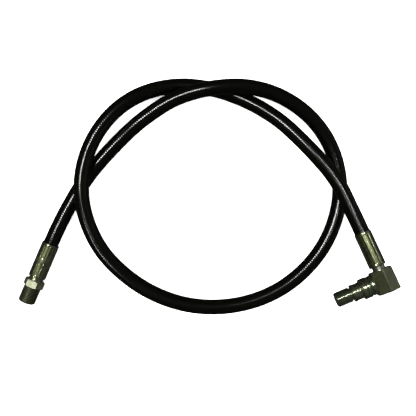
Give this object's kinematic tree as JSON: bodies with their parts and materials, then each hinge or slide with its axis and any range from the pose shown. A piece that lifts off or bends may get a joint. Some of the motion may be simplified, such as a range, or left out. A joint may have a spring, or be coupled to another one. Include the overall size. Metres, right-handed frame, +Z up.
{
  "type": "braided supply hose",
  "caption": "Black jacketed braided hose in a loose knot, with a straight male fitting and a swivelling elbow fitting.",
  "frame": {"origin": "centre of the footprint on the floor the hose lies on", "axes": "+Z up from the floor, +X along the long side of the knot towards the elbow end, +Y towards the crown of the knot"},
  "size_m": [0.3904, 0.2486, 0.0526],
  "materials": {
    "jacket": "smooth semi-gloss black jacket, rippled by the braid",
    "braid_wire": "bright braided wire",
    "tube_rubber": "matte black inner tube",
    "zinc_steel": "turned steel, olive zinc passivated",
    "seal_rubber": "satin black seal rubber",
    "copper": "annealed copper",
    "ptfe": "waxy white",
    "spring_steel": "drawn spring wire",
    "bronze": "smooth bronze"
  },
  "bodies": {
    "loop": {"outer_cover": "jacket", "braid": "braid_wire", "inner_tube": "tube_rubber"},
    "left_end": {"outer_cover_left_tail": "jacket", "braid_left_tail": "braid_wire", "inner_tube_left_tail": "tube_rubber", "left_ferrule": "zinc_steel", "left_stem": "zinc_steel"},
    "right_end": {"outer_cover_right_tail": "jacket", "braid_right_tail": "braid_wire", "inner_tube_right_tail": "tube_rubber", "right_ferrule": "zinc_steel", "right_stem": "zinc_steel", "elbow_block": "zinc_steel", "swivel_housing": "zinc_steel", "housing_seal": "copper", "retaining_ring": "spring_steel"},
    "swivel_end": {"swivel_stem": "zinc_steel", "swivel_o_rings": "seal_rubber", "swivel_backup_rings": "ptfe", "thrust_washer": "bronze"}
  },
  "joints": [
    {"name": "left_tail_flex", "type": "hinge", "parent": "loop", "child": "left_end", "pos_m": [-0.14589, -0.01644, 0.00848], "axis": [0, 0, 1], "range_deg": [-12, 12]},
    {"name": "right_tail_flex", "type": "hinge", "parent": "loop", "child": "right_end", "pos_m": [0.14975, -0.01357, 0.0279], "axis": [0, 0, 1], "range_deg": [-12, 12]},
    {"name": "swivel_spin", "type": "hinge", "parent": "right_end", "child": "swivel_end", "pos_m": [0.15694, -0.09404, 0.03821], "axis": [-0.9212, -0.3891, 0], "continuous": true}
  ]
}
